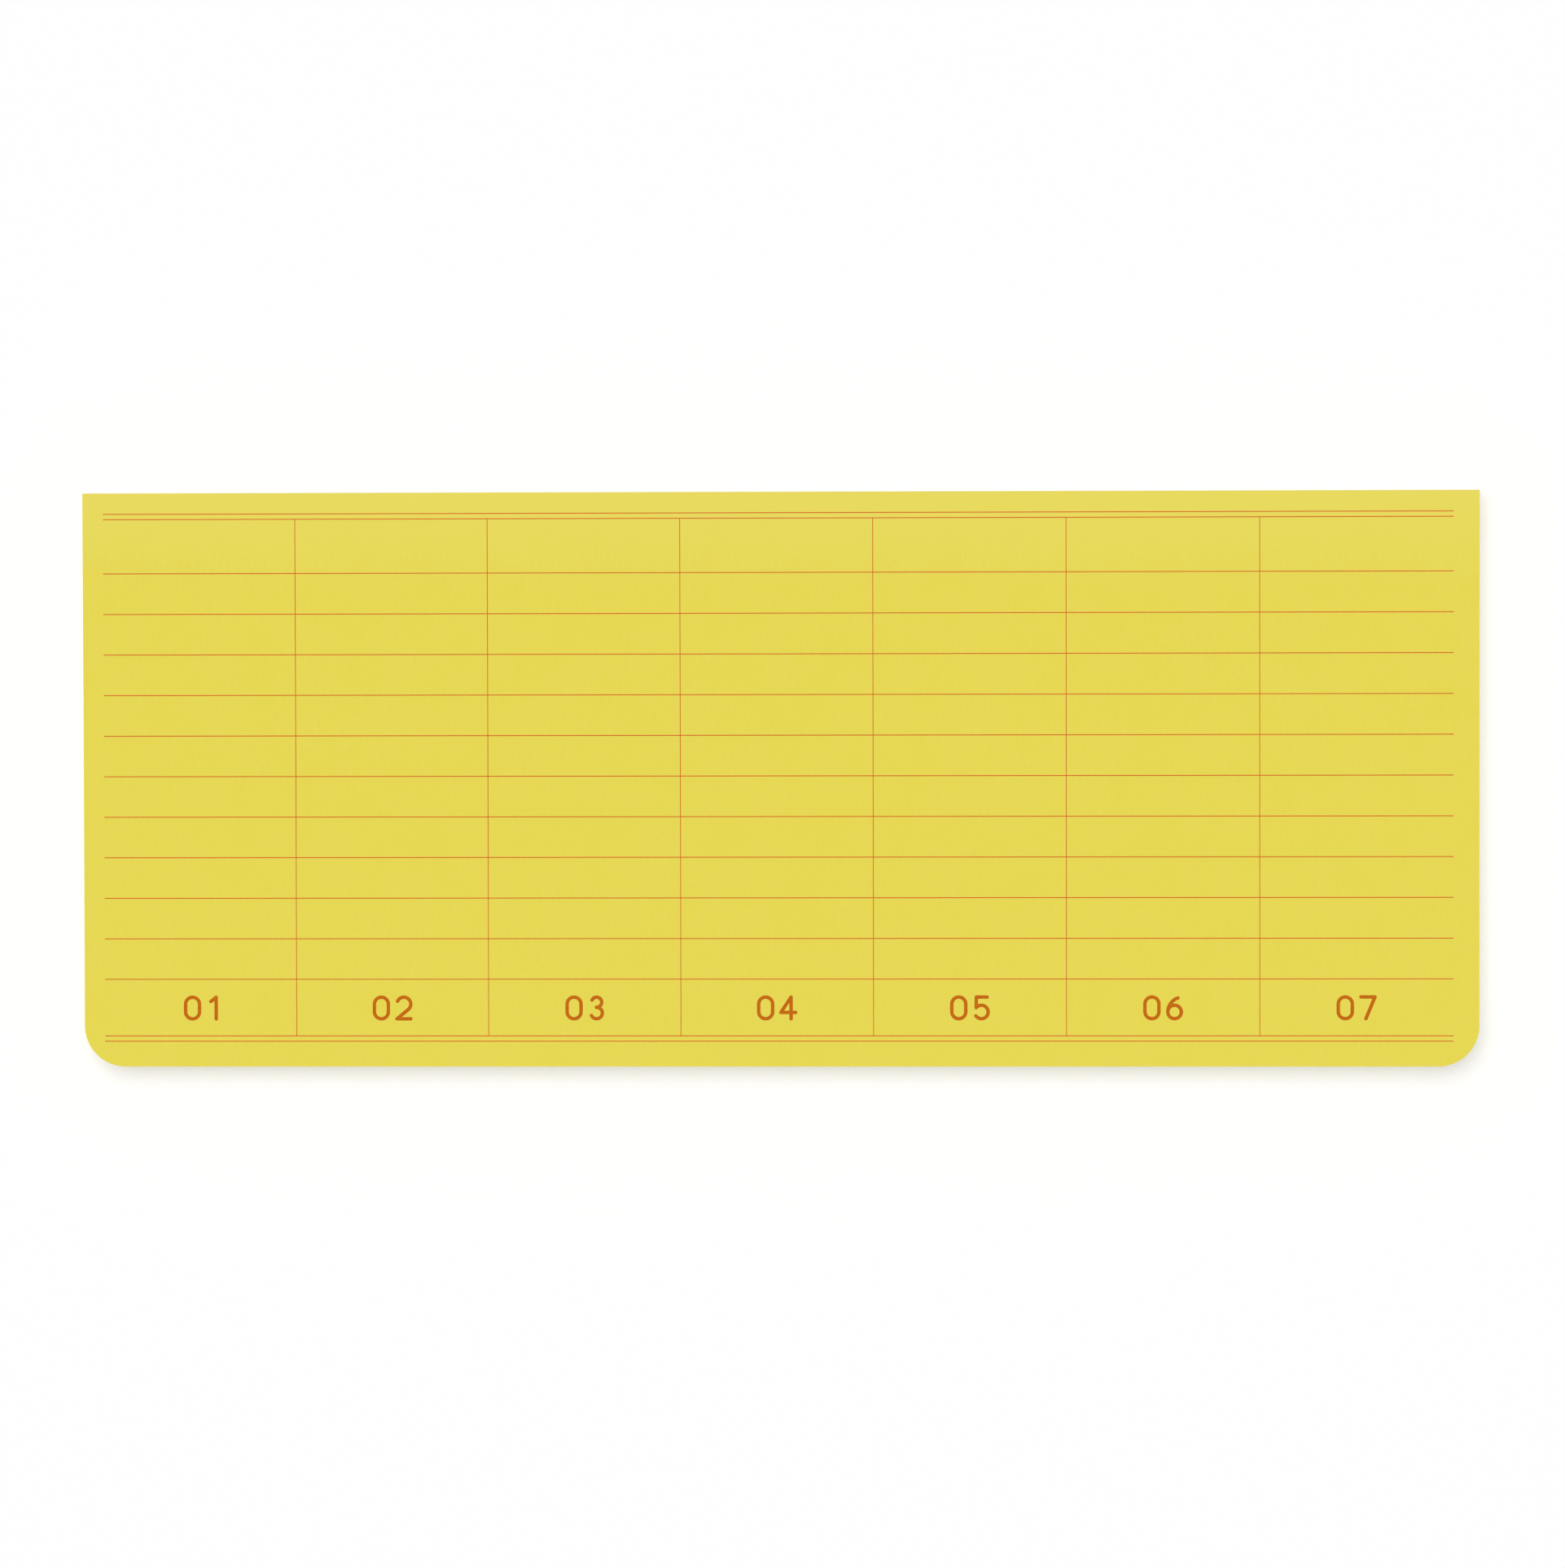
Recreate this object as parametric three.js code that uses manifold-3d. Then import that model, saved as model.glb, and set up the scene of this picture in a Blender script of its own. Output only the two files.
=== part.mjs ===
import * as THREE from 'three';
import { mergeVertices } from 'three/addons/utils/BufferGeometryUtils.js';
import Module from 'manifold-3d';

const wasm = await Module();
wasm.setup();

// A pad of ruled paper sheets, each stuck to the one below it by a band of glue along one long edge.
// Millimetres, +Z up. The origin lies under the middle of the pad, on the surface that it rests on.
// +X runs along the long side and +Y points to the glued edge, which is the head of the page.

// Outline, shared by the card and by every sheet
const padWidth = 170;
const padDepth = 70;
const cornerRadius = 5; // the two corners of the free edge; the corners of the glued edge are square
const cornerSteps = 6;

// Backing card
const cardThickness = 0.4;

// Sheets, and the glue that holds each one to what lies below it
const sheetCount = 30;
const sheetThickness = 0.08;
const glueThickness = 0.02;
const glueDepth = 14; // how far the glue reaches in from the glued edge
const freeEdgeGap = 0.035; // air between two sheets at the free edge
const bendSteps = 5;

// Printed table on the top sheet
const inkThickness = 0.02;
const ruleWidth = 0.105;
const columnLineWidth = 0.09;
const headMargin = 2.55; // from the glued edge to the middle of the first rule
const footMargin = 3.09; // from the middle of the last rule to the free edge
const leftMargin = 2.5;
const rightMargin = 3.14;
const doubleRulePitch = 0.65; // between the middles of the two rules at the head, and at the foot
const headRow = 6.61;
const footRow = 6.92;
const lineRows = 10;
const columnCount = 7;

// Where the pad's edges, its glue and its table lie
const gluedEdge = padDepth / 2;
const freeEdge = -padDepth / 2;
const glueLine = gluedEdge - glueDepth;
const tableLeft = -padWidth / 2 + leftMargin;
const tableRight = padWidth / 2 - rightMargin;
const tableHead = gluedEdge - headMargin - doubleRulePitch;
const tableFoot = freeEdge + footMargin + doubleRulePitch;
const columnWidth = (tableRight - tableLeft) / columnCount;
const linePitch = (tableHead - headRow - footRow - tableFoot) / lineRows;

// The gap under a sheet is filled by glue up to the glue line, and from there it opens towards the free edge.
function gapAt(y) {
  const reach = Math.max(0, (glueLine - y) / (glueLine - freeEdge));
  return glueThickness + (freeEdgeGap - glueThickness) * reach ** 2;
}

function sheetUnderside(sheet, y) {
  return cardThickness + (sheet + 1) * gapAt(y) + sheet * sheetThickness;
}

function sheetTop(sheet, y) {
  return sheetUnderside(sheet, y) + sheetThickness;
}

const topSheet = sheetCount - 1;
const abovePad = sheetTop(topSheet, freeEdge) + inkThickness + cardThickness; // clear of everything

// Places across the depth at which a sheet's section has a point, from the glue line to the free edge
const bend = [];
for (let step = 0; step <= bendSteps; step += 1) {
  bend.push(glueLine + (freeEdge - glueLine) * (step / bendSteps));
}

// A closed geometry as a solid that can be joined and cut
function toSolid(geometry) {
  const bare = geometry.clone();
  bare.deleteAttribute('normal');
  bare.deleteAttribute('uv');
  const merged = mergeVertices(bare);
  return new wasm.Manifold(new wasm.Mesh({
    numProp: 3,
    vertProperties: new Float32Array(merged.attributes.position.array),
    triVerts: new Uint32Array(merged.index.array),
  }));
}

function toGeometry(solid) {
  const mesh = solid.getMesh();
  const geometry = new THREE.BufferGeometry();
  geometry.setAttribute('position', new THREE.BufferAttribute(mesh.vertProperties, 3));
  geometry.setIndex(new THREE.BufferAttribute(mesh.triVerts, 1));
  geometry.computeVertexNormals();
  return geometry;
}

// The outline seen from above, made into a prism from the surface up to a height
function outlinePrism(height) {
  const halfWidth = padWidth / 2;
  const outline = new THREE.Shape();
  outline.moveTo(-halfWidth, gluedEdge);
  outline.lineTo(-halfWidth, freeEdge + cornerRadius);
  outline.absarc(-halfWidth + cornerRadius, freeEdge + cornerRadius, cornerRadius, Math.PI, 1.5 * Math.PI);
  outline.lineTo(halfWidth - cornerRadius, freeEdge);
  outline.absarc(halfWidth - cornerRadius, freeEdge + cornerRadius, cornerRadius, 1.5 * Math.PI, 2 * Math.PI);
  outline.lineTo(halfWidth, gluedEdge);
  outline.closePath();
  return new THREE.ExtrudeGeometry(outline, { depth: height, bevelEnabled: false, curveSegments: cornerSteps });
}

// A section drawn across the depth, as points of Y and Z, run along the whole width of the pad
function runAlongWidth(section) {
  const geometry = new THREE.ExtrudeGeometry(section, { depth: padWidth, bevelEnabled: false });
  const alongY = new THREE.Vector3(0, 1, 0);
  const alongZ = new THREE.Vector3(0, 0, 1);
  const alongX = new THREE.Vector3(1, 0, 0);
  geometry.applyMatrix4(new THREE.Matrix4().makeBasis(alongY, alongZ, alongX));
  geometry.translate(-padWidth / 2, 0, 0);
  return geometry;
}

// A straight bar of ink seen from above, given by its middle and its two sizes
function inkBar(x, y, width, depth) {
  const bar = new THREE.BoxGeometry(width, depth, abovePad);
  bar.translate(x, y, abovePad / 2);
  return toSolid(bar);
}

function makeBackingCard() {
  const material = new THREE.MeshStandardMaterial({ color: '#d8d5cb', roughness: 0.85, metalness: 0 });
  const card = new THREE.Mesh(outlinePrism(cardThickness), material);
  card.name = 'backing_card';
  return card;
}

// The band of glue that holds the last sheet to the card
function makeAdhesiveBand() {
  const geometry = new THREE.BoxGeometry(padWidth, glueDepth, glueThickness);
  geometry.translate(0, (gluedEdge + glueLine) / 2, cardThickness + glueThickness / 2);
  const material = new THREE.MeshStandardMaterial({ color: '#efe8b4', roughness: 0.5, metalness: 0 });
  const band = new THREE.Mesh(geometry, material);
  band.name = 'adhesive_band';
  return band;
}

// The section of the sheets is a comb: its back is the glued edge, and each tooth is one sheet.
function sheetComb() {
  const comb = new THREE.Shape();
  comb.moveTo(gluedEdge, sheetUnderside(0, gluedEdge));
  comb.lineTo(gluedEdge, sheetTop(topSheet, gluedEdge));
  for (let sheet = topSheet; sheet >= 0; sheet -= 1) {
    for (const y of bend) {
      comb.lineTo(y, sheetTop(sheet, y));
    }
    for (const y of [...bend].reverse()) {
      comb.lineTo(y, sheetUnderside(sheet, y));
    }
  }
  comb.closePath();
  return comb;
}

function makeSheetStack() {
  const sheets = toSolid(runAlongWidth(sheetComb()));
  const cut = sheets.intersect(toSolid(outlinePrism(abovePad)));
  const material = new THREE.MeshStandardMaterial({ color: '#e6d854', roughness: 0.8, metalness: 0 });
  const stack = new THREE.Mesh(toGeometry(cut), material);
  stack.name = 'sheet_stack';
  return stack;
}

// A skin of ink lies on the whole top sheet, and each printed piece keeps its own part of it.
function inkSkin() {
  const across = [gluedEdge, ...bend];
  const skin = new THREE.Shape();
  skin.moveTo(gluedEdge, sheetTop(topSheet, gluedEdge) + inkThickness);
  for (const y of bend) {
    skin.lineTo(y, sheetTop(topSheet, y) + inkThickness);
  }
  for (const y of across.reverse()) {
    skin.lineTo(y, sheetTop(topSheet, y));
  }
  skin.closePath();
  return toSolid(runAlongWidth(skin));
}

function makePrint(name, bars) {
  const printed = bars.reduce((joined, bar) => joined.add(bar)).intersect(inkSkin());
  const material = new THREE.MeshStandardMaterial({ color: '#d66814', roughness: 0.6, metalness: 0 });
  const mesh = new THREE.Mesh(toGeometry(printed), material);
  mesh.name = name;
  return mesh;
}

function rule(y) {
  return inkBar((tableLeft + tableRight) / 2, y, tableRight - tableLeft, ruleWidth);
}

// Rules across the page, with a tall first row and a tall last row, and lines between the columns
function makeTable() {
  const bars = [rule(tableHead), rule(tableFoot)];
  for (let line = 0; line <= lineRows; line += 1) {
    bars.push(rule(tableHead - headRow - line * linePitch));
  }
  for (let column = 1; column < columnCount; column += 1) {
    const x = tableLeft + column * columnWidth;
    bars.push(inkBar(x, (tableHead + tableFoot) / 2, columnLineWidth, tableHead - tableFoot));
  }
  return makePrint('printed_table', bars);
}

const pad = new THREE.Group();
pad.add(makeBackingCard());
pad.add(makeAdhesiveBand());
pad.add(makeSheetStack());
pad.add(makeTable());
pad.add(makePrint('printed_head_rule', [rule(tableHead + doubleRulePitch)]));
pad.add(makePrint('printed_foot_rule', [rule(tableFoot - doubleRulePitch)]));

export default pad;
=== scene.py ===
import math
import random
import bpy
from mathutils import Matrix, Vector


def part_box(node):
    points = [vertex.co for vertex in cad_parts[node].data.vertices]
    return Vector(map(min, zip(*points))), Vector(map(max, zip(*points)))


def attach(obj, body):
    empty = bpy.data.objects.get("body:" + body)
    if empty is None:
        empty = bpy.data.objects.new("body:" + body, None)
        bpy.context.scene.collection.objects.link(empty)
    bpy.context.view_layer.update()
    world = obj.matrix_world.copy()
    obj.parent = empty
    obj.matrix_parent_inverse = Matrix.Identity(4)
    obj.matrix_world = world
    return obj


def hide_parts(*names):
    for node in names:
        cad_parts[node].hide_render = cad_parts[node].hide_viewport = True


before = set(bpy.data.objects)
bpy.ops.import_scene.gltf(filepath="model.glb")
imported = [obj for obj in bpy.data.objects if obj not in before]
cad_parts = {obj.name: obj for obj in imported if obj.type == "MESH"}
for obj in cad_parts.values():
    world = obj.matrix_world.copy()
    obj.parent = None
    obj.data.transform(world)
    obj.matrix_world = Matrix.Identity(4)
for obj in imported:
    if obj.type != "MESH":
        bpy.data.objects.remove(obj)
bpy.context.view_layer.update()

cardLow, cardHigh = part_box("backing_card")
glueLow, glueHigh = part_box("adhesive_band")
stackLow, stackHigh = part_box("sheet_stack")
tableLow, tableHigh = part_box("printed_table")
padWidth = cardHigh.x - cardLow.x
padDepth = cardHigh.y - cardLow.y
gluedEdge = cardHigh.y
freeEdge = cardLow.y
glueLine = glueLow.y  # where the glue ends and the sheets are free


# Small helpers

def deselectAll():
    if bpy.context.object and bpy.context.object.mode != "OBJECT":
        bpy.ops.object.mode_set(mode="OBJECT")
    bpy.ops.object.select_all(action="DESELECT")


def pick(piece):
    deselectAll()
    piece.select_set(True)
    bpy.context.view_layer.objects.active = piece


def editMode(piece, what="VERT"):
    pick(piece)
    bpy.ops.object.mode_set(mode="EDIT")
    bpy.ops.mesh.select_mode(type=what)


def objectMode():
    bpy.ops.object.mode_set(mode="OBJECT")


def settle(piece):
    pick(piece)
    bpy.ops.object.transform_apply(location=True, rotation=True, scale=True)


def applyAll(piece):
    pick(piece)
    for modifier in list(piece.modifiers):
        bpy.ops.object.modifier_apply(modifier=modifier.name)


def joinAll(pieces, name):
    pick(pieces[0])
    for piece in pieces[1:]:
        piece.select_set(True)
    bpy.ops.object.join()
    joined = bpy.context.object
    joined.name = name
    joined.data.name = name
    return joined


def ownCopy(piece, name):
    copied = piece.copy()
    copied.data = piece.data.copy()
    copied.name = name
    bpy.context.scene.collection.objects.link(copied)
    return copied


def recalcOut(piece):
    editMode(piece, "FACE")
    bpy.ops.mesh.select_all(action="SELECT")
    bpy.ops.mesh.normals_make_consistent(inside=False)
    objectMode()


# Outline of the pad: a plane with the two corners of its free edge rounded

outline = {
    "cornerRadius": 0.005,
    "cornerSegments": 16,
}


def addOutline(name, height):
    bpy.ops.mesh.primitive_plane_add(size=1, location=(0, (gluedEdge + freeEdge) / 2, height))
    plate = bpy.context.object
    plate.name = name
    plate.scale = (padWidth, padDepth, 1)
    settle(plate)
    editMode(plate)
    bpy.ops.mesh.select_all(action="DESELECT")
    objectMode()
    for vertex in plate.data.vertices:
        vertex.select = vertex.co.y < 0
    bpy.ops.object.mode_set(mode="EDIT")
    radius = outline["cornerRadius"]
    bpy.ops.mesh.bevel(affect="VERTICES", offset=radius, segments=outline["cornerSegments"], profile=0.5)
    objectMode()
    return plate


def cutAcross(plate, places):
    editMode(plate)
    for y in places:
        bpy.ops.mesh.select_all(action="SELECT")
        bpy.ops.mesh.bisect(plane_co=(0, y, 0), plane_no=(0, 1, 0))
    objectMode()


def reachAt(y):
    # 0 where glue holds a sheet down, and from there up to 1 at the free edge
    return max(0, (glueLine - y) / (glueLine - freeEdge)) ** 2


def paintReach(plate):
    group = plate.vertex_groups.new(name="reach")
    for vertex in plate.data.vertices:
        group.add([vertex.index], reachAt(vertex.co.y), "REPLACE")


# Backing card

backing = {
    "wornEdge": 0.00005,
    "wornSegments": 2,
}


def makeCard():
    card = addOutline("card", cardLow.z)
    body = card.modifiers.new("body", "SOLIDIFY")
    body.thickness = cardHigh.z - cardLow.z
    body.offset = 1
    worn = card.modifiers.new("worn edge", "BEVEL")
    worn.width = backing["wornEdge"]
    worn.segments = backing["wornSegments"]
    worn.limit_method = "ANGLE"
    applyAll(card)
    recalcOut(card)
    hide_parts("backing_card")
    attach(card, "root")
    print("card made")
    return card


# Sheets: one is modelled flat, then copied, lifted to its place and bent

sheets = {
    "count": 30,
    "thickness": 0.00008,
    "bendCuts": 14,
    "gapSpread": 0.8,  # how unevenly the air lies between the sheets
    "cutSlip": 0.00002,  # how far a sheet may lie off its place, though never past the glued edge
    "seed": 7,
}


def restHeight(index):
    # Where the underside of a sheet lies over the glue
    glue = glueHigh.z - glueLow.z
    return cardHigh.z + (index + 1) * glue + index * sheets["thickness"]


def wholeLift():
    # How much higher the top sheet lies at the free edge than over the glue
    return stackHigh.z - restHeight(sheets["count"] - 1) - sheets["thickness"]


def airUnderSheets():
    draw = random.Random(sheets["seed"])
    shares = [1 + sheets["gapSpread"] * draw.uniform(-1, 1) for _ in range(sheets["count"])]
    return [wholeLift() * share / sum(shares) for share in shares]


def makeFlatSheet():
    flat = addOutline("flatSheet", 0)
    span = glueLine - freeEdge
    cuts = [glueLine - span * cut / sheets["bendCuts"] for cut in range(sheets["bendCuts"])]
    cutAcross(flat, cuts)
    paintReach(flat)
    return flat


def makeSheet(flat, index, lift, draw):
    sheet = ownCopy(flat, "sheet" + str(index + 1))
    bend = sheet.modifiers.new("bend", "DISPLACE")
    bend.direction = "Z"
    bend.mid_level = 0
    bend.strength = lift
    bend.vertex_group = "reach"
    body = sheet.modifiers.new("body", "SOLIDIFY")
    body.thickness = sheets["thickness"]
    body.offset = 1
    applyAll(sheet)
    slip = sheets["cutSlip"]
    sheet.location = (draw.uniform(-slip, slip), draw.uniform(-slip, 0), restHeight(index))
    settle(sheet)
    shade = 0 if index == sheets["count"] - 1 else draw.random()
    tone = sheet.data.attributes.new("sheetTone", "FLOAT", "POINT")
    tone.data.foreach_set("value", [shade] * len(sheet.data.vertices))
    return sheet


def makeSheets():
    draw = random.Random(sheets["seed"] + 1)
    flat = makeFlatSheet()
    lift = 0
    made = []
    for index, air in enumerate(airUnderSheets()):
        lift += air
        made.append(makeSheet(flat, index, lift, draw))
    bpy.data.objects.remove(flat)
    topSheet = made.pop()
    topSheet.name = "topSheet"
    lower = joinAll(made, "lowerSheets")
    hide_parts("sheet_stack")  # together with the top sheet
    for piece in (topSheet, lower):
        recalcOut(piece)
        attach(piece, "root")
    print("sheets made", len(made) + 1)
    return topSheet, lower


# Glue between the sheets, a hair back from the cut edges

glueBand = {
    "setBack": 0.0002,
}


def makeGlueFilms():
    glue = glueHigh.z - glueLow.z
    middle = (gluedEdge + glueLine) / 2
    width = padWidth - 2 * glueBand["setBack"]
    depth = gluedEdge - glueLine - 2 * glueBand["setBack"]
    films = []
    for index in range(1, sheets["count"]):
        bpy.ops.mesh.primitive_plane_add(size=1, location=(0, middle, restHeight(index) - glue))
        film = bpy.context.object
        film.scale = (width, depth, 1)
        settle(film)
        body = film.modifiers.new("body", "SOLIDIFY")
        body.thickness = glue
        body.offset = 1
        applyAll(film)
        films.append(film)
    joined = joinAll(films, "glueFilms")
    recalcOut(joined)
    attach(joined, "root")
    print("glue films made", len(films))
    return joined


# Figures under the columns, drawn with a round pen and joined stroke by stroke

millimetre = 0.001

numbers = {
    "height": 3.07,  # in millimetres, as the other sizes of the numbers are
    "halfWidth": 0.85,
    "stroke": 0.43,
    "inkHeight": 0.02,
    "standOff": 0.002,  # between the ink and the paper
    "figureStep": 2.75,
    "footRow": 6.92,
    "columns": 7,
    "arcStep": 9,  # degrees
    "dotRadius": 0.2175,  # a hair more than half a stroke, so that a dot covers a stroke's corners
    "dotSegments": 32,
    "weldWithin": 0.001,
}

# A figure's middle is at 0, 0, and these are its bounds along the middle of the stroke.
halfHeight = (numbers["height"] - numbers["stroke"]) / 2
halfWidth = numbers["halfWidth"]


def liftInk(piece):
    # Gives a flat shape the thickness of the ink
    editMode(piece, "FACE")
    bpy.ops.mesh.select_all(action="SELECT")
    bpy.ops.mesh.extrude_region_move(TRANSFORM_OT_translate={"value": (0, 0, numbers["inkHeight"])})
    bpy.ops.mesh.select_all(action="SELECT")
    bpy.ops.mesh.normals_make_consistent(inside=False)
    objectMode()
    return piece


def penBar(x1, y1, x2, y2):
    # A stroke is handed on as its mesh and the places of its ends.
    bpy.ops.mesh.primitive_plane_add(size=1)
    bar = bpy.context.object
    bar.scale = (math.hypot(x2 - x1, y2 - y1), numbers["stroke"], 1)
    bar.rotation_euler.z = math.atan2(y2 - y1, x2 - x1)
    bar.location = ((x1 + x2) / 2, (y1 + y2) / 2, 0)
    settle(bar)
    return [(liftInk(bar), (x1, y1), (x2, y2))]


def penDot(x, y):
    radius = numbers["dotRadius"]
    points = numbers["dotSegments"]
    bpy.ops.mesh.primitive_circle_add(vertices=points, radius=radius, fill_type="NGON", location=(x, y, 0))
    dot = bpy.context.object
    settle(dot)
    return liftInk(dot)


def penNib():
    # An edge as long as the stroke is wide, to be spun
    bpy.ops.mesh.primitive_plane_add(size=1)
    nib = bpy.context.object
    nib.scale = (numbers["stroke"], 1, 1)
    settle(nib)
    editMode(nib)
    bpy.ops.mesh.select_all(action="DESELECT")
    objectMode()
    for vertex in nib.data.vertices:
        vertex.select = vertex.co.y > 0
    bpy.ops.object.mode_set(mode="EDIT")
    bpy.ops.mesh.delete(type="VERT")
    objectMode()
    return nib


def onCircle(x, y, radius, degrees):
    # Degrees go anticlockwise from the right, as they do for an arc.
    turn = math.radians(degrees)
    return x + radius * math.cos(turn), y + radius * math.sin(turn)


def penArc(x, y, radius, start, sweep):
    arc = penNib()
    arc.location = (radius, 0.5, 0)  # the nib's edge lies half a unit below its middle
    settle(arc)
    editMode(arc)
    bpy.ops.mesh.select_all(action="SELECT")
    steps = max(2, round(sweep / numbers["arcStep"]))
    bpy.ops.mesh.spin(steps=steps, angle=-math.radians(sweep), center=(0, 0, 0), axis=(0, 0, 1))
    bpy.ops.mesh.select_all(action="SELECT")
    bpy.ops.mesh.remove_doubles(threshold=numbers["weldWithin"])
    objectMode()
    arc.rotation_euler.z = math.radians(start)
    arc.location = (x, y, 0)
    settle(arc)
    liftInk(arc)
    if sweep >= 360:
        return [(arc,)]  # a whole circle has no ends
    return [(arc, onCircle(x, y, radius, start), onCircle(x, y, radius, start + sweep))]


def drawZero():
    rise = halfHeight - halfWidth
    strokes = penBar(-halfWidth, -rise, -halfWidth, rise) + penBar(halfWidth, -rise, halfWidth, rise)
    return strokes + penArc(0, rise, halfWidth, 0, 180) + penArc(0, -rise, halfWidth, 180, 180)


def drawOne():
    stem = 0.15
    flagTip = -0.5
    flagFall = 0.52
    flag = penBar(stem, halfHeight, flagTip, halfHeight - flagFall)
    return penBar(stem, -halfHeight, stem, halfHeight) + flag


def drawTwo():
    rise = halfHeight - halfWidth
    slantAt = -50.8  # where the bow runs into the slanted stroke
    sweep = 205.8
    slantX, slantY = onCircle(0, rise, halfWidth, slantAt)
    strokes = penArc(0, rise, halfWidth, slantAt, sweep) + penBar(slantX, slantY, -halfWidth, -halfHeight)
    return strokes + penBar(-halfWidth, -halfHeight, halfWidth, -halfHeight)


def drawThree():
    upper = 0.62
    lower = halfHeight - upper
    sweep = 245
    strokes = penArc(0, halfHeight - upper, upper, -90, sweep)
    return strokes + penArc(0, lower - halfHeight, lower, 90 - sweep, sweep)


def drawFour():
    stem = 0.35
    reach = 0.9
    bar = -0.55
    strokes = penBar(stem, halfHeight, -reach, bar) + penBar(-reach, bar, reach, bar)
    return strokes + penBar(stem, halfHeight, stem, -halfHeight)


def drawFive():
    bowl = 0.82
    spine = -0.62
    flagTip = 0.7
    bowlEnd = 140  # where the bowl runs into the spine
    sweep = 285
    bowlX, bowlY = onCircle(0, bowl - halfHeight, bowl, bowlEnd)
    strokes = penBar(spine, halfHeight, flagTip, halfHeight) + penBar(spine, halfHeight, bowlX, bowlY)
    return strokes + penArc(0, bowl - halfHeight, bowl, bowlEnd - sweep, sweep)


def drawSix():
    bowl = 0.82
    tail = 1.794
    tailTip = 108.7
    tailSweep = 71.3
    inset = 0.003  # keeps the tail's edge within the bowl's, where they would lie on each other
    strokes = penArc(0, bowl - halfHeight, bowl, 0, 360)
    return strokes + penArc(tail - bowl + inset, bowl - halfHeight, tail, tailTip, tailSweep)


def drawSeven():
    foot = -0.25
    strokes = penBar(-halfWidth, halfHeight, halfWidth, halfHeight)
    return strokes + penBar(halfWidth, halfHeight, foot, -halfHeight)


def fuseStrokes(strokes, name):
    # Each stroke comes with the places of its ends. Each such place, to a thousandth, gets one round dot.
    ends = {(round(x, 3), round(y, 3)) for stroke in strokes for x, y in stroke[1:]}
    parts = [stroke[0] for stroke in strokes] + [penDot(x, y) for x, y in sorted(ends)]
    figure = parts[0]
    for part in parts[1:]:
        fuse = figure.modifiers.new("fuse", "BOOLEAN")
        fuse.operation = "UNION"
        fuse.solver = "MANIFOLD"
        fuse.object = part
        applyAll(figure)
        bpy.data.objects.remove(part)
    figure.name = name
    return figure


def topHeight(y):
    return restHeight(sheets["count"] - 1) + sheets["thickness"] + wholeLift() * reachAt(y)


def placeFigure(figure, x, y):
    # The top sheet rises a little towards the free edge, and the figure leans with it.
    slope = (topHeight(y + millimetre) - topHeight(y - millimetre)) / (2 * millimetre)
    figure.scale = (millimetre, millimetre, millimetre)
    figure.rotation_euler.x = math.atan(slope)
    figure.location = (x, y, topHeight(y) + numbers["standOff"] * millimetre)
    settle(figure)


def inkMiddle(left, right):
    # Where the ink of two figures has its middle, from halfway between their places
    low = min(vertex.co.x for vertex in left.data.vertices) - numbers["figureStep"] / 2
    high = max(vertex.co.x for vertex in right.data.vertices) + numbers["figureStep"] / 2
    return (low + high) / 2 * millimetre


def makeNumbers():
    drawFigure = [drawZero, drawOne, drawTwo, drawThree, drawFour, drawFive, drawSix, drawSeven]
    figures = [fuseStrokes(draw(), "figure" + str(value)) for value, draw in enumerate(drawFigure)]
    columnWidth = (tableHigh.x - tableLow.x) / numbers["columns"]
    y = tableLow.y + numbers["footRow"] / 2 * millimetre
    shift = numbers["figureStep"] / 2 * millimetre
    placed = []
    for column in range(numbers["columns"]):
        pair = (figures[0], figures[column + 1])
        x = tableLow.x + (column + 0.5) * columnWidth - inkMiddle(*pair)
        for model, side in zip(pair, (-shift, shift)):
            figure = ownCopy(model, "placedFigure")
            placeFigure(figure, x + side, y)
            placed.append(figure)
    for figure in figures:
        bpy.data.objects.remove(figure)
    joined = joinAll(placed, "columnNumbers")
    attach(joined, "root")
    print("numbers made", len(placed))
    return joined


# Materials

def newMaterial(name):
    material = bpy.data.materials.new(name)
    material.use_nodes = True
    nodes = material.node_tree.nodes
    return material, nodes, material.node_tree.links, nodes["Principled BSDF"]


def toLinear(colour):
    # From a picture's 0 to 255 to the light that a shader reckons with
    def channel(value):
        value /= 255
        return value / 12.92 if value <= 0.04045 else ((value + 0.055) / 1.055) ** 2.4
    return (*[channel(value) for value in colour], 1)


def setMaterial(piece, material):
    piece.data.materials.clear()
    piece.data.materials.append(material)


pulpFibres = {
    "fibreSize": 0.0004,
    "cloudSize": 0.006,
    "lies": ((0.35, 0.16), (1.9, 0.2)),  # for each way that fibres lie, its turn and its scale
    "fibreDetail": 3,
    "fibreRoughness": 0.6,
    "cloudDetail": 4,
}


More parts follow.
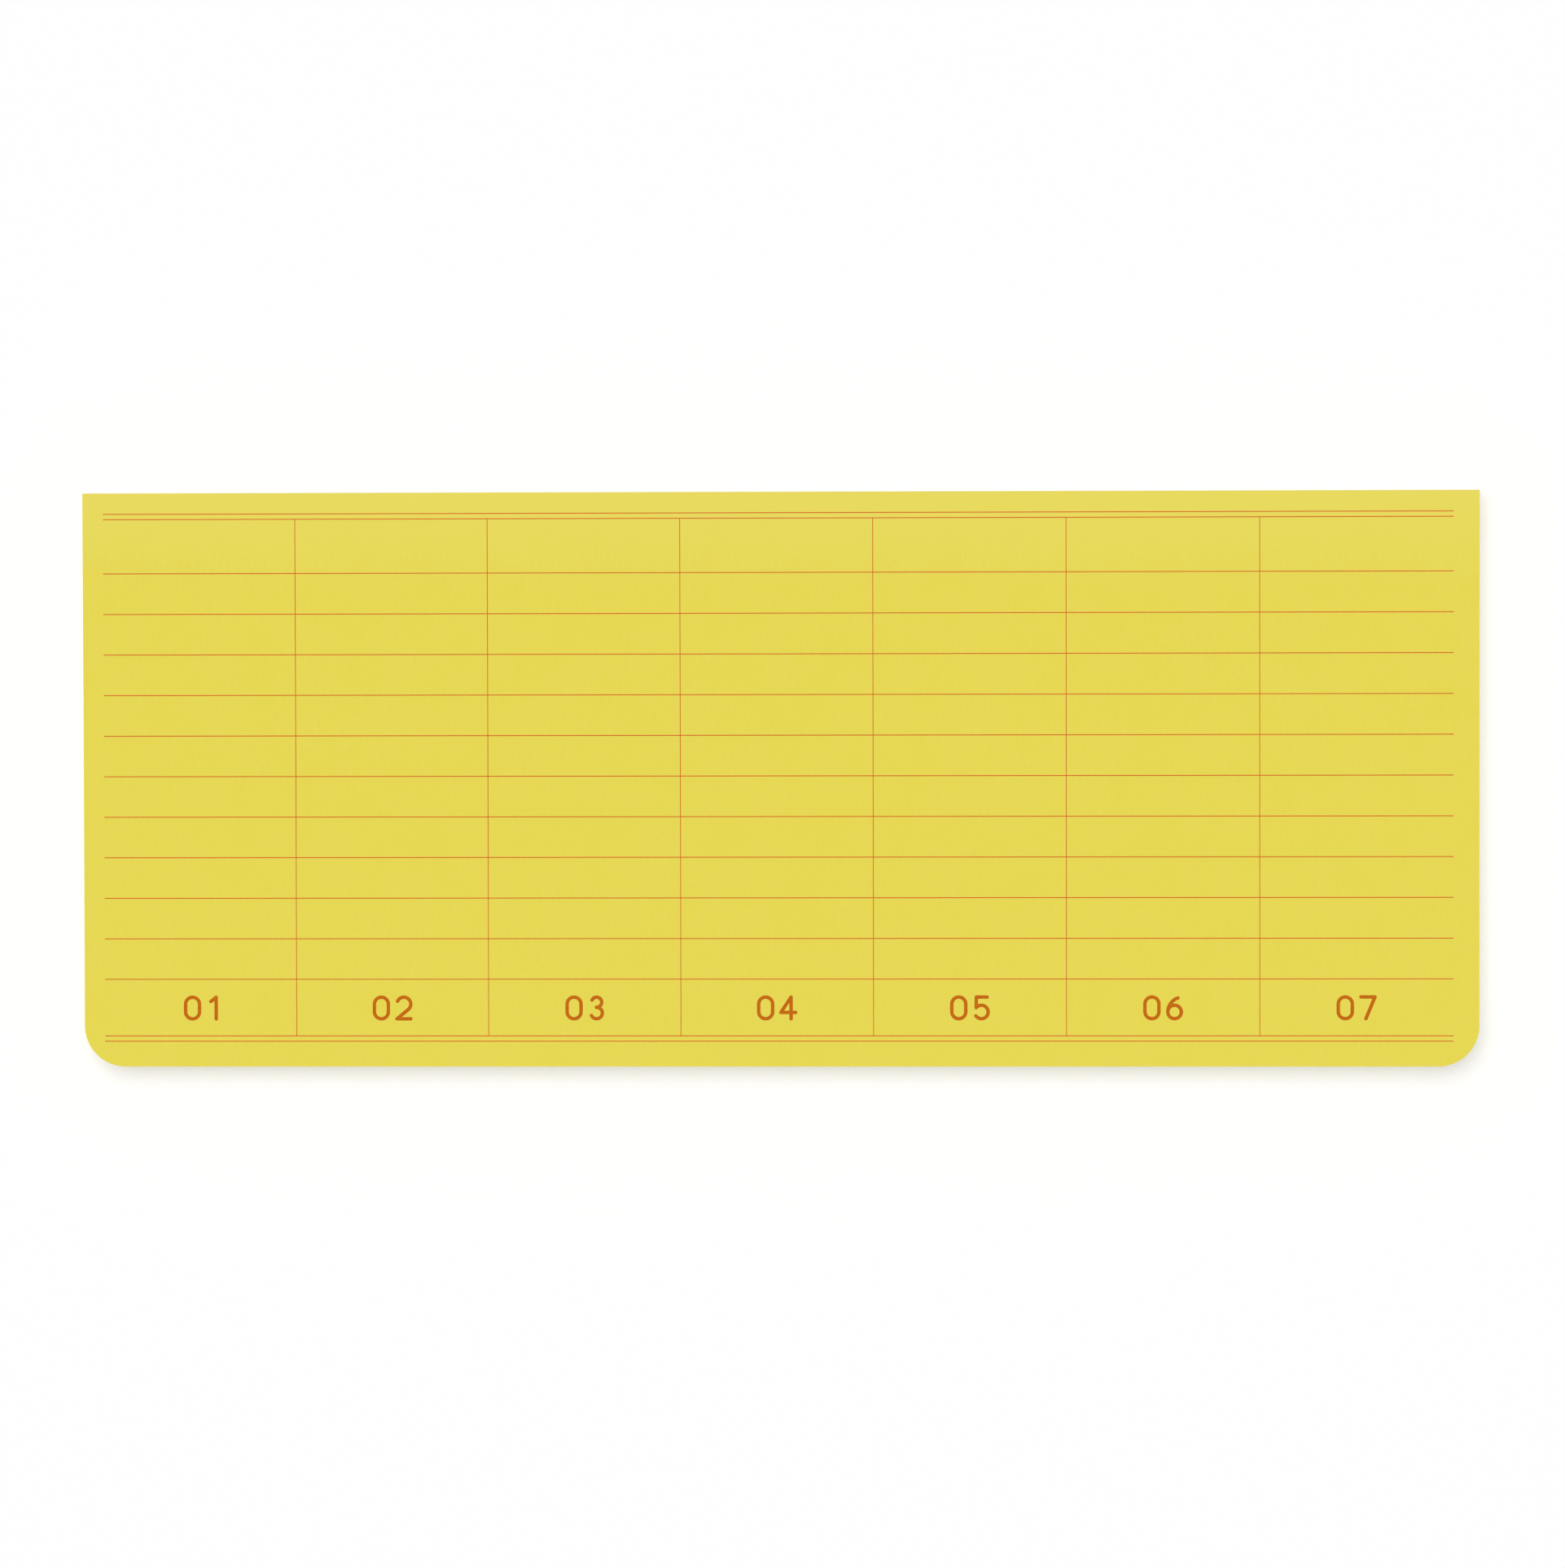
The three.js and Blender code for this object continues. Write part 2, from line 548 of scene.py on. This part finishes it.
def makeFibreGroup():
    # Fibres lying across each other, and the soft clouds that pulp settles into
    group = bpy.data.node_groups.new("pulpFibres", "ShaderNodeTree")
    face = group.interface
    fibreSize = face.new_socket("Fibre Size", in_out="INPUT", socket_type="NodeSocketFloat")
    fibreSize.default_value = pulpFibres["fibreSize"]
    cloudSize = face.new_socket("Cloud Size", in_out="INPUT", socket_type="NodeSocketFloat")
    cloudSize.default_value = pulpFibres["cloudSize"]
    face.new_socket("Fibres", in_out="OUTPUT", socket_type="NodeSocketFloat")
    face.new_socket("Clouds", in_out="OUTPUT", socket_type="NodeSocketFloat")
    nodes = group.nodes
    links = group.links
    given = nodes.new("NodeGroupInput")
    result = nodes.new("NodeGroupOutput")
    place = nodes.new("ShaderNodeTexCoord")
    strands = []
    for turn, stretch in pulpFibres["lies"]:
        lie = nodes.new("ShaderNodeMapping")
        lie.inputs["Rotation"].default_value = (0, 0, turn)
        lie.inputs["Scale"].default_value = (1, stretch, 1)
        grain = nodes.new("ShaderNodeTexNoise")
        grain.inputs["Detail"].default_value = pulpFibres["fibreDetail"]
        grain.inputs["Roughness"].default_value = pulpFibres["fibreRoughness"]
        perMetre = nodes.new("ShaderNodeMath")
        perMetre.operation = "DIVIDE"
        perMetre.inputs[0].default_value = 1
        links.new(place.outputs["Object"], lie.inputs["Vector"])
        links.new(lie.outputs["Vector"], grain.inputs["Vector"])
        links.new(given.outputs["Fibre Size"], perMetre.inputs[1])
        links.new(perMetre.outputs["Value"], grain.inputs["Scale"])
        strands.append(grain)
    crossed = nodes.new("ShaderNodeMath")
    crossed.operation = "MAXIMUM"
    links.new(strands[0].outputs["Fac"], crossed.inputs[0])
    links.new(strands[1].outputs["Fac"], crossed.inputs[1])
    cloudPerMetre = nodes.new("ShaderNodeMath")
    cloudPerMetre.operation = "DIVIDE"
    cloudPerMetre.inputs[0].default_value = 1
    cloud = nodes.new("ShaderNodeTexNoise")
    cloud.inputs["Detail"].default_value = pulpFibres["cloudDetail"]
    links.new(place.outputs["Object"], cloud.inputs["Vector"])
    links.new(given.outputs["Cloud Size"], cloudPerMetre.inputs[1])
    links.new(cloudPerMetre.outputs["Value"], cloud.inputs["Scale"])
    links.new(crossed.outputs["Value"], result.inputs["Fibres"])
    links.new(cloud.outputs["Fac"], result.inputs["Clouds"])
    return group


def addFibres(nodes, group, fibreSize, cloudSize=pulpFibres["cloudSize"]):
    fibres = nodes.new("ShaderNodeGroup")
    fibres.node_tree = group
    fibres.inputs["Fibre Size"].default_value = fibreSize
    fibres.inputs["Cloud Size"].default_value = cloudSize
    return fibres


def addRange(nodes, links, source, low, high, fromLow=0.3, fromHigh=0.7):
    # Noise lies mostly between 0.3 and 0.7.
    spread = nodes.new("ShaderNodeMapRange")
    spread.inputs["From Min"].default_value = fromLow
    spread.inputs["From Max"].default_value = fromHigh
    spread.inputs["To Min"].default_value = low
    spread.inputs["To Max"].default_value = high
    links.new(source, spread.inputs["Value"])
    return spread.outputs["Result"]


def addBlend(nodes, links, factor, low, high):
    # A Mix node's colours are its inputs 6 and 7, and the mixed colour is its output 2.
    blend = nodes.new("ShaderNodeMix")
    blend.data_type = "RGBA"
    for socket, value in ((blend.inputs[6], low), (blend.inputs[7], high)):
        if isinstance(value, tuple):
            socket.default_value = value
        else:
            links.new(value, socket)
    links.new(factor, blend.inputs[0])
    return blend.outputs[2]


def addRough(nodes, links, fibres, rough, shader):
    low, high = rough
    links.new(addRange(nodes, links, fibres.outputs["Fibres"], low, high), shader.inputs["Roughness"])


def addBump(nodes, links, fibres, depth, strength, shader):
    bump = nodes.new("ShaderNodeBump")
    bump.inputs["Distance"].default_value = depth
    bump.inputs["Strength"].default_value = strength
    links.new(fibres.outputs["Fibres"], bump.inputs["Height"])
    links.new(bump.outputs["Normal"], shader.inputs["Normal"])


paperLook = {
    "thin": (229, 214.6, 79.4),
    "dense": (228, 213.4, 75.4),
    "paintedLightTop": (231, 217, 92),  # painted light: the paper is painted a little paler towards the glued edge
    "paintedLightFade": 0.012,
    "strand": (238, 227, 122),
    "strandShare": 0.22,
    "strandFrom": 0.5,  # the fibres' noise at which a pale strand begins, and at which it is full
    "strandFull": 0.75,
    "fibreSize": 0.00022,
    "cloudSize": 0.005,
    "edgePale": (238, 227, 128),  # the sheets' cut edges go some of the way to this
    "edgeShare": 0.7,
    "rough": (0.72, 0.88),
    "gloss": 0.2,
    "bumpDepth": 0.00001,
    "bumpStrength": 0.5,
}


def makePaper(fibreGroup):
    material, nodes, links, shader = newMaterial("yellowPaper")
    fibres = addFibres(nodes, fibreGroup, paperLook["fibreSize"], paperLook["cloudSize"])
    clouds = addRange(nodes, links, fibres.outputs["Clouds"], 0, 1)
    pulp = addBlend(nodes, links, clouds, toLinear(paperLook["thin"]), toLinear(paperLook["dense"]))
    begins, full = paperLook["strandFrom"], paperLook["strandFull"]
    strands = addRange(nodes, links, fibres.outputs["Fibres"], 0, paperLook["strandShare"], begins, full)
    pulp = addBlend(nodes, links, strands, pulp, toLinear(paperLook["strand"]))
    tone = nodes.new("ShaderNodeAttribute")
    tone.attribute_name = "sheetTone"
    toned = addRange(nodes, links, tone.outputs["Fac"], 0, paperLook["edgeShare"], 0, 1)
    stacked = addBlend(nodes, links, toned, pulp, toLinear(paperLook["edgePale"]))
    place = nodes.new("ShaderNodeTexCoord")
    across = nodes.new("ShaderNodeSeparateXYZ")
    links.new(place.outputs["Object"], across.inputs["Vector"])
    # Painted light: over the last stretch towards the glued edge, the paper is painted paler.
    fadeFrom = gluedEdge - paperLook["paintedLightFade"]
    paintedLight = addRange(nodes, links, across.outputs["Y"], 0, 1, fadeFrom, gluedEdge)
    colour = addBlend(nodes, links, paintedLight, stacked, toLinear(paperLook["paintedLightTop"]))
    links.new(colour, shader.inputs["Base Color"])
    addRough(nodes, links, fibres, paperLook["rough"], shader)
    shader.inputs["Specular IOR Level"].default_value = paperLook["gloss"]
    addBump(nodes, links, fibres, paperLook["bumpDepth"], paperLook["bumpStrength"], shader)
    return material


# The same ink lies thick and dark in the figures, and thinner and brighter in the hairlines.
figureInk = {
    "name": "figureInk",
    "full": (192, 100, 8),
    "worn": (199, 112, 14),
    "wornFrom": 0.45,  # the fibres' noise at which the ink begins to thin, and at which it is thinnest
    "wornFull": 0.75,
    "rough": (0.5, 0.7),
    "gloss": 0.05,
    "fibreSize": 0.0003,
}

hairlineInk = {
    "name": "hairlineInk",
    "full": (204, 80, 6),
    "worn": (210, 91, 14),
    "wornFrom": 0.45,
    "wornFull": 0.75,
    "rough": (0.5, 0.7),
    "gloss": 0.2,
    "fibreSize": 0.0004,
}


def makeInk(fibreGroup, look):
    material, nodes, links, shader = newMaterial(look["name"])
    fibres = addFibres(nodes, fibreGroup, look["fibreSize"])
    patch = addRange(nodes, links, fibres.outputs["Fibres"], 0, 1, look["wornFrom"], look["wornFull"])
    colour = addBlend(nodes, links, patch, toLinear(look["full"]), toLinear(look["worn"]))
    links.new(colour, shader.inputs["Base Color"])
    addRough(nodes, links, fibres, look["rough"], shader)
    shader.inputs["Specular IOR Level"].default_value = look["gloss"]
    return material


cardLook = {
    "pale": (214, 209, 197),
    "dark": (190, 184, 170),
    "fleck": (128, 120, 106),
    "fibreSize": 0.0009,
    "cloudSize": 0.004,
    "fleckSize": 0.001,
    "fleckShare": 0.7,
    "fleckCore": 0.04,  # in flecks' own size, where the fleck is darkest and where it ends
    "fleckEnd": 0.12,
    "rough": (0.8, 0.95),
    "gloss": 0.2,
    "bumpDepth": 0.00003,
    "bumpStrength": 0.5,
}


def makeCardboard(fibreGroup):
    material, nodes, links, shader = newMaterial("greyCard")
    fibres = addFibres(nodes, fibreGroup, cardLook["fibreSize"], cardLook["cloudSize"])
    clouds = addRange(nodes, links, fibres.outputs["Clouds"], 0, 1)
    pulp = addBlend(nodes, links, clouds, toLinear(cardLook["pale"]), toLinear(cardLook["dark"]))
    place = nodes.new("ShaderNodeTexCoord")
    flecks = nodes.new("ShaderNodeTexVoronoi")
    flecks.inputs["Scale"].default_value = 1 / cardLook["fleckSize"]
    links.new(place.outputs["Object"], flecks.inputs["Vector"])
    core, end = cardLook["fleckCore"], cardLook["fleckEnd"]
    spot = addRange(nodes, links, flecks.outputs["Distance"], cardLook["fleckShare"], 0, core, end)
    colour = addBlend(nodes, links, spot, pulp, toLinear(cardLook["fleck"]))
    links.new(colour, shader.inputs["Base Color"])
    addRough(nodes, links, fibres, cardLook["rough"], shader)
    shader.inputs["Specular IOR Level"].default_value = cardLook["gloss"]
    addBump(nodes, links, fibres, cardLook["bumpDepth"], cardLook["bumpStrength"], shader)
    return material


glueLook = {
    "film": (238, 232, 178),
    "streak": (226, 216, 140),
    "fibreSize": 0.002,
    "cloudSize": 0.008,
    "rough": (0.35, 0.55),
}


def makeGlue(fibreGroup):
    material, nodes, links, shader = newMaterial("tackyGlue")
    fibres = addFibres(nodes, fibreGroup, glueLook["fibreSize"], glueLook["cloudSize"])
    clouds = addRange(nodes, links, fibres.outputs["Clouds"], 0, 1)
    colour = addBlend(nodes, links, clouds, toLinear(glueLook["film"]), toLinear(glueLook["streak"]))
    links.new(colour, shader.inputs["Base Color"])
    addRough(nodes, links, fibres, glueLook["rough"], shader)
    return material


# Studio

cameraView = {
    "place": (0.02587, 0.02502, 0.8),
    "turnDegrees": (-1.843, 1.828, -0.134),
    "lens": 150.35,
    "clipStart": 0.01,
    "clipEnd": 50,
}

studio = {
    "floorSize": 12,
    "floorColour": 0.9,  # to the light, which it throws back on the pad
    "floorSeen": 0.996,  # the floor's colour to the camera, all but white
    "worldFill": 0.1,
    "overheadShare": 0.43,  # of the light that falls on the pad
    "overheadSpread": 8,
    "windowShare": 0.47,
    "windowSpread": 55,
    "windowTurnDegrees": (-15.6, -7.6, 0),
}


def makeCamera():
    bpy.ops.object.camera_add(location=cameraView["place"])
    camera = bpy.context.object
    camera.rotation_euler = [math.radians(turn) for turn in cameraView["turnDegrees"]]
    camera.data.lens = cameraView["lens"]
    camera.data.clip_start = cameraView["clipStart"]
    camera.data.clip_end = cameraView["clipEnd"]
    bpy.context.scene.camera = camera


def addSun(name, share, spread, turnDegrees):
    # A sun that stands lower is made stronger, so that the pad gets its share of light.
    turn = [math.radians(angle) for angle in turnDegrees]
    bpy.ops.object.light_add(type="SUN", rotation=turn)
    sun = bpy.context.object
    sun.name = name
    fall = math.cos(turn[0]) * math.cos(turn[1])
    sun.data.energy = share * math.pi / fall
    sun.data.angle = math.radians(spread)


def seenRays(nodes, links):
    # 1 for what the camera sees, also by a reflection or through glass, and 0 for the light on the pad
    path = nodes.new("ShaderNodeLightPath")
    either = nodes.new("ShaderNodeMath")
    either.operation = "MAXIMUM"
    seen = nodes.new("ShaderNodeMath")
    seen.operation = "MAXIMUM"
    links.new(path.outputs["Is Camera Ray"], either.inputs[0])
    links.new(path.outputs["Is Glossy Ray"], either.inputs[1])
    links.new(either.outputs["Value"], seen.inputs[0])
    links.new(path.outputs["Is Transmission Ray"], seen.inputs[1])
    return seen.outputs["Value"]


def makeFloor():
    bpy.ops.mesh.primitive_plane_add(size=studio["floorSize"])
    floor = bpy.context.object
    floor.name = "floor"
    material = bpy.data.materials.new("floorPaper")
    material.use_nodes = True
    nodes = material.node_tree.nodes
    links = material.node_tree.links
    nodes.clear()
    shade = nodes.new("ShaderNodeBsdfDiffuse")
    seen = addRange(nodes, links, seenRays(nodes, links), studio["floorColour"], studio["floorSeen"], 0, 1)
    links.new(seen, shade.inputs["Color"])
    output = nodes.new("ShaderNodeOutputMaterial")
    links.new(shade.outputs["BSDF"], output.inputs["Surface"])
    setMaterial(floor, material)


def makeWorld():
    world = bpy.data.worlds.new("studioWorld")
    bpy.context.scene.world = world
    world.use_nodes = True
    nodes = world.node_tree.nodes
    links = world.node_tree.links
    nodes.clear()
    fill = nodes.new("ShaderNodeBackground")
    fill.inputs["Color"].default_value = (1, 1, 1, 1)
    fill.inputs["Strength"].default_value = studio["worldFill"]
    white = nodes.new("ShaderNodeBackground")
    white.inputs["Color"].default_value = (1, 1, 1, 1)
    mix = nodes.new("ShaderNodeMixShader")
    links.new(seenRays(nodes, links), mix.inputs["Fac"])
    links.new(fill.outputs["Background"], mix.inputs[1])
    links.new(white.outputs["Background"], mix.inputs[2])
    output = nodes.new("ShaderNodeOutputWorld")
    links.new(mix.outputs["Shader"], output.inputs["Surface"])


def makeStudio():
    bpy.context.scene.view_settings.view_transform = "Standard"
    makeCamera()
    makeFloor()
    makeWorld()
    addSun("overhead", studio["overheadShare"], studio["overheadSpread"], (0, 0, 0))
    addSun("window", studio["windowShare"], studio["windowSpread"], studio["windowTurnDegrees"])
    print("studio made")


makeStudio()
card = makeCard()
topSheet, lowerSheets = makeSheets()
glueFilms = makeGlueFilms()
columnNumbers = makeNumbers()

fibreGroup = makeFibreGroup()
paper = makePaper(fibreGroup)
glue = makeGlue(fibreGroup)
setMaterial(card, makeCardboard(fibreGroup))
setMaterial(topSheet, paper)
setMaterial(lowerSheets, paper)
setMaterial(glueFilms, glue)
setMaterial(columnNumbers, makeInk(fibreGroup, figureInk))
setMaterial(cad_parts["adhesive_band"], glue)
hairlines = makeInk(fibreGroup, hairlineInk)
for printed in ("printed_table", "printed_head_rule", "printed_foot_rule"):
    setMaterial(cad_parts[printed], hairlines)
print("materials set")
